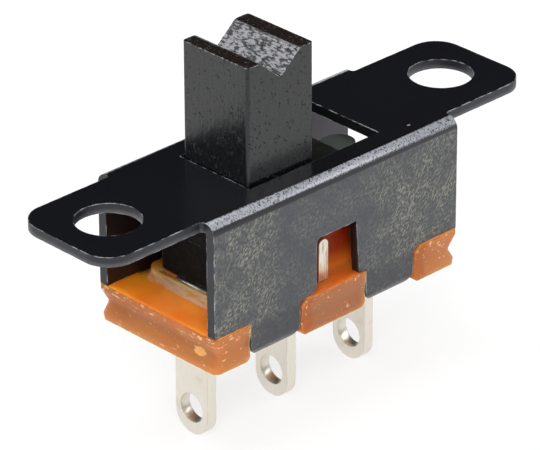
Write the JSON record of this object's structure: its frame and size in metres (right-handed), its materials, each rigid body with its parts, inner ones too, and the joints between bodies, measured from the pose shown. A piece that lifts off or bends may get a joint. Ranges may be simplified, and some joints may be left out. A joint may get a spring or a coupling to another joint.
{
  "type": "slide switch",
  "caption": "Panel slide switch: folded steel frame with two drilled ears, moulded base, grooved sliding handle and solder lugs with eyes.",
  "frame": {"origin": "middle of the two ear holes, on the upper face of the frame", "axes": "+Z out of the frame's upper face along the handle, +X along the switch in the slider's travel, +Y across it"},
  "size_m": [0.019, 0.0056, 0.0134],
  "materials": {
    "black_steel": "satin black, worn paler along the folds",
    "orange_moulding": "satin orange-brown moulding with small chips",
    "black_plastic": "matte black, fine scratches and pits",
    "contact_metal": "plated spring leaf",
    "spring_steel": "drawn wire",
    "plated_lug": "silver-plated brass, satin"
  },
  "bodies": {
    "housing": {"frame": "black_steel", "base": "orange_moulding", "terminal_left": "plated_lug", "terminal_centre": "plated_lug", "terminal_right": "plated_lug"},
    "slider": {"slider": "black_plastic", "moving_contact": "contact_metal", "contact_spring": "spring_steel"}
  },
  "joints": [
    {"name": "slider_travel", "type": "slide", "parent": "housing", "child": "slider", "axis": [1, 0, 0], "range_m": [0, 0.0028]}
  ]
}
